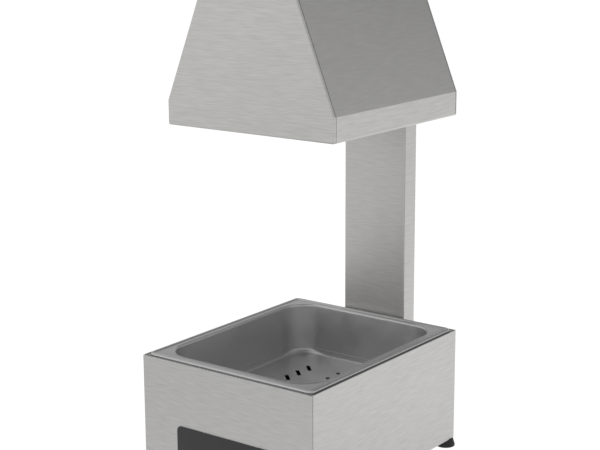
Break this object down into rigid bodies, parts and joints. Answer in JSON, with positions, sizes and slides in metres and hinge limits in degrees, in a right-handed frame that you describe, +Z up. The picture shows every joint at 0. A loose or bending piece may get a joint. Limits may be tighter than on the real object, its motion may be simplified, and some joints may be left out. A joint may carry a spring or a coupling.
{
  "type": "chip warmer",
  "caption": "Counter-top chip warmer: box base holding a lift-out pan with a slotted drain plate, a flat rear column and a tapered hood with an infrared lamp.",
  "frame": {"origin": "bottom centre of the whole object's bounding box, on the counter under the feet", "axes": "+Z up; the front with the badge faces -Y; +X is to the right seen from the front; the column and the cable gland are at +Y"},
  "size_m": [0.284, 0.3884, 0.7029],
  "materials": {
    "brushed_steel": "brushed stainless sheet, grain along X or Y, horizontal",
    "satin_steel": "smooth satin stainless",
    "zinc_steel": "zinc-plated steel",
    "badge_grey": "dark grey printed plate, left plain",
    "black_rubber": "matt black rubber",
    "black_plastic": "matt black plastic",
    "rocker_black": "smooth black plastic",
    "ceramic": "glazed off-white ceramic",
    "lamp_glass": "ruby glass, silvered inside above its face",
    "clear_glass": "clear glass",
    "tungsten": "grey tungsten wire",
    "brass": "plain brass",
    "silicone": "red-brown heat-resistant silicone sheath",
    "grey_plastic": "grey nylon"
  },
  "bodies": {
    "warmer": {"badge_plate": "badge_grey", "base_bottom_plate": "zinc_steel", "base_front_panel": "brushed_steel", "base_side_wrap": "brushed_steel", "base_top_frame": "brushed_steel", "column_base_screw_high_left": "zinc_steel", "column_base_screw_high_right": "zinc_steel", "column_base_screw_low_left": "zinc_steel", "column_base_screw_low_right": "zinc_steel", "column_bottom_cap": "brushed_steel", "column_channel": "brushed_steel", "column_front_cover": "brushed_steel", "column_hood_screw_high_left": "zinc_steel", "column_hood_screw_high_right": "zinc_steel", "column_hood_screw_low_left": "zinc_steel", "column_hood_screw_low_right": "zinc_steel", "column_top_cap": "brushed_steel", "foot_front_left": "black_rubber", "foot_front_right": "black_rubber", "foot_rear_left": "black_rubber", "foot_rear_right": "black_rubber", "foot_screw_front_left": "zinc_steel", "foot_screw_front_right": "zinc_steel", "foot_screw_rear_left": "zinc_steel", "foot_screw_rear_right": "zinc_steel", "gland_body": "grey_plastic", "gland_dome_nut": "grey_plastic", "gland_locknut": "grey_plastic", "gland_seal": "black_rubber", "hood_front_plate": "brushed_steel", "hood_grommet": "black_rubber", "hood_rear_plate": "brushed_steel", "hood_wrap": "brushed_steel", "lamp_bracket": "zinc_steel", "lamp_bracket_screw_left": "zinc_steel", "lamp_bracket_screw_right": "zinc_steel", "lamp_cable": "silicone", "lamp_cap": "brass", "lamp_filament": "tungsten", "lamp_glass": "lamp_glass", "lamp_stem": "clear_glass", "lampholder": "ceramic", "lampholder_nipple": "brass", "lampholder_nut": "brass", "switch_body": "black_plastic", "switch_cable": "silicone", "terminal_block": "ceramic", "terminal_block_screw": "zinc_steel"},
    "pan": {"pan": "satin_steel"},
    "drain_plate": {"drain_plate": "satin_steel"},
    "switch_rocker": {"switch_rocker": "rocker_black"}
  },
  "joints": [
    {"name": "pan_lift", "type": "slide", "parent": "warmer", "child": "pan", "axis": [0, 0, 1], "range_m": [0, 0.15]},
    {"name": "drain_plate_lift", "type": "slide", "parent": "pan", "child": "drain_plate", "axis": [0, 0, 1], "range_m": [0, 0.105]},
    {"name": "power_switch", "type": "hinge", "parent": "warmer", "child": "switch_rocker", "pos_m": [0, 0.1757, 0.15], "axis": [1, 0, 0], "range_deg": [0, 16]}
  ]
}
